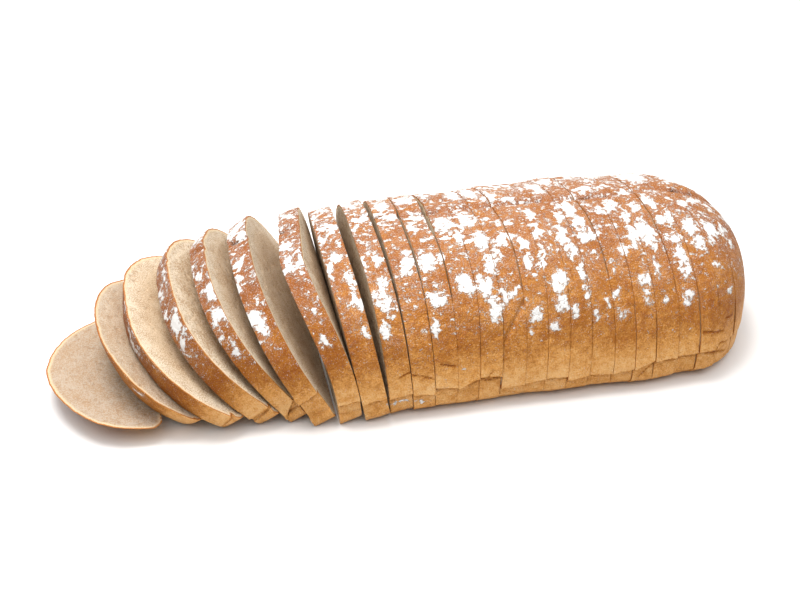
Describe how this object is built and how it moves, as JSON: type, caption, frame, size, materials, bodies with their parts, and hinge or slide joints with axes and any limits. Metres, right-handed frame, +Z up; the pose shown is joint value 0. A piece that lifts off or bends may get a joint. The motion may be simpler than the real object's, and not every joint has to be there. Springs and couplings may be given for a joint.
{
  "type": "sliced sourdough loaf",
  "caption": "Long floured sourdough loaf, machine-sliced, standing close together on its flat base at one end and fanned out flat at the other.",
  "frame": {"origin": "middle of the whole row's box on the surface it rests on", "axes": "+X from the toppled end to the packed end, +Y to the back, +Z up"},
  "size_m": [0.4144, 0.1664, 0.0794],
  "materials": {
    "bread_slice": "baked crust round the edge, open crumb on both cut faces, dusted with flour",
    "bread_heel": "baked crust over the domed side, crumb on the one cut face, dusted with flour"
  },
  "bodies": {
    "root": {"heel_left": "bread_heel", "slice_02": "bread_slice", "slice_03": "bread_slice", "slice_04": "bread_slice", "slice_05": "bread_slice", "slice_06": "bread_slice", "slice_07": "bread_slice", "slice_08": "bread_slice", "slice_09": "bread_slice", "slice_10": "bread_slice", "slice_11": "bread_slice", "slice_12": "bread_slice", "slice_13": "bread_slice", "slice_14": "bread_slice", "slice_15": "bread_slice", "slice_16": "bread_slice", "slice_17": "bread_slice", "slice_18": "bread_slice", "slice_19": "bread_slice", "slice_20": "bread_slice", "slice_21": "bread_slice", "slice_22": "bread_slice", "slice_23": "bread_slice", "slice_24": "bread_slice", "heel_right": "bread_heel"}
  },
  "joints": []
}
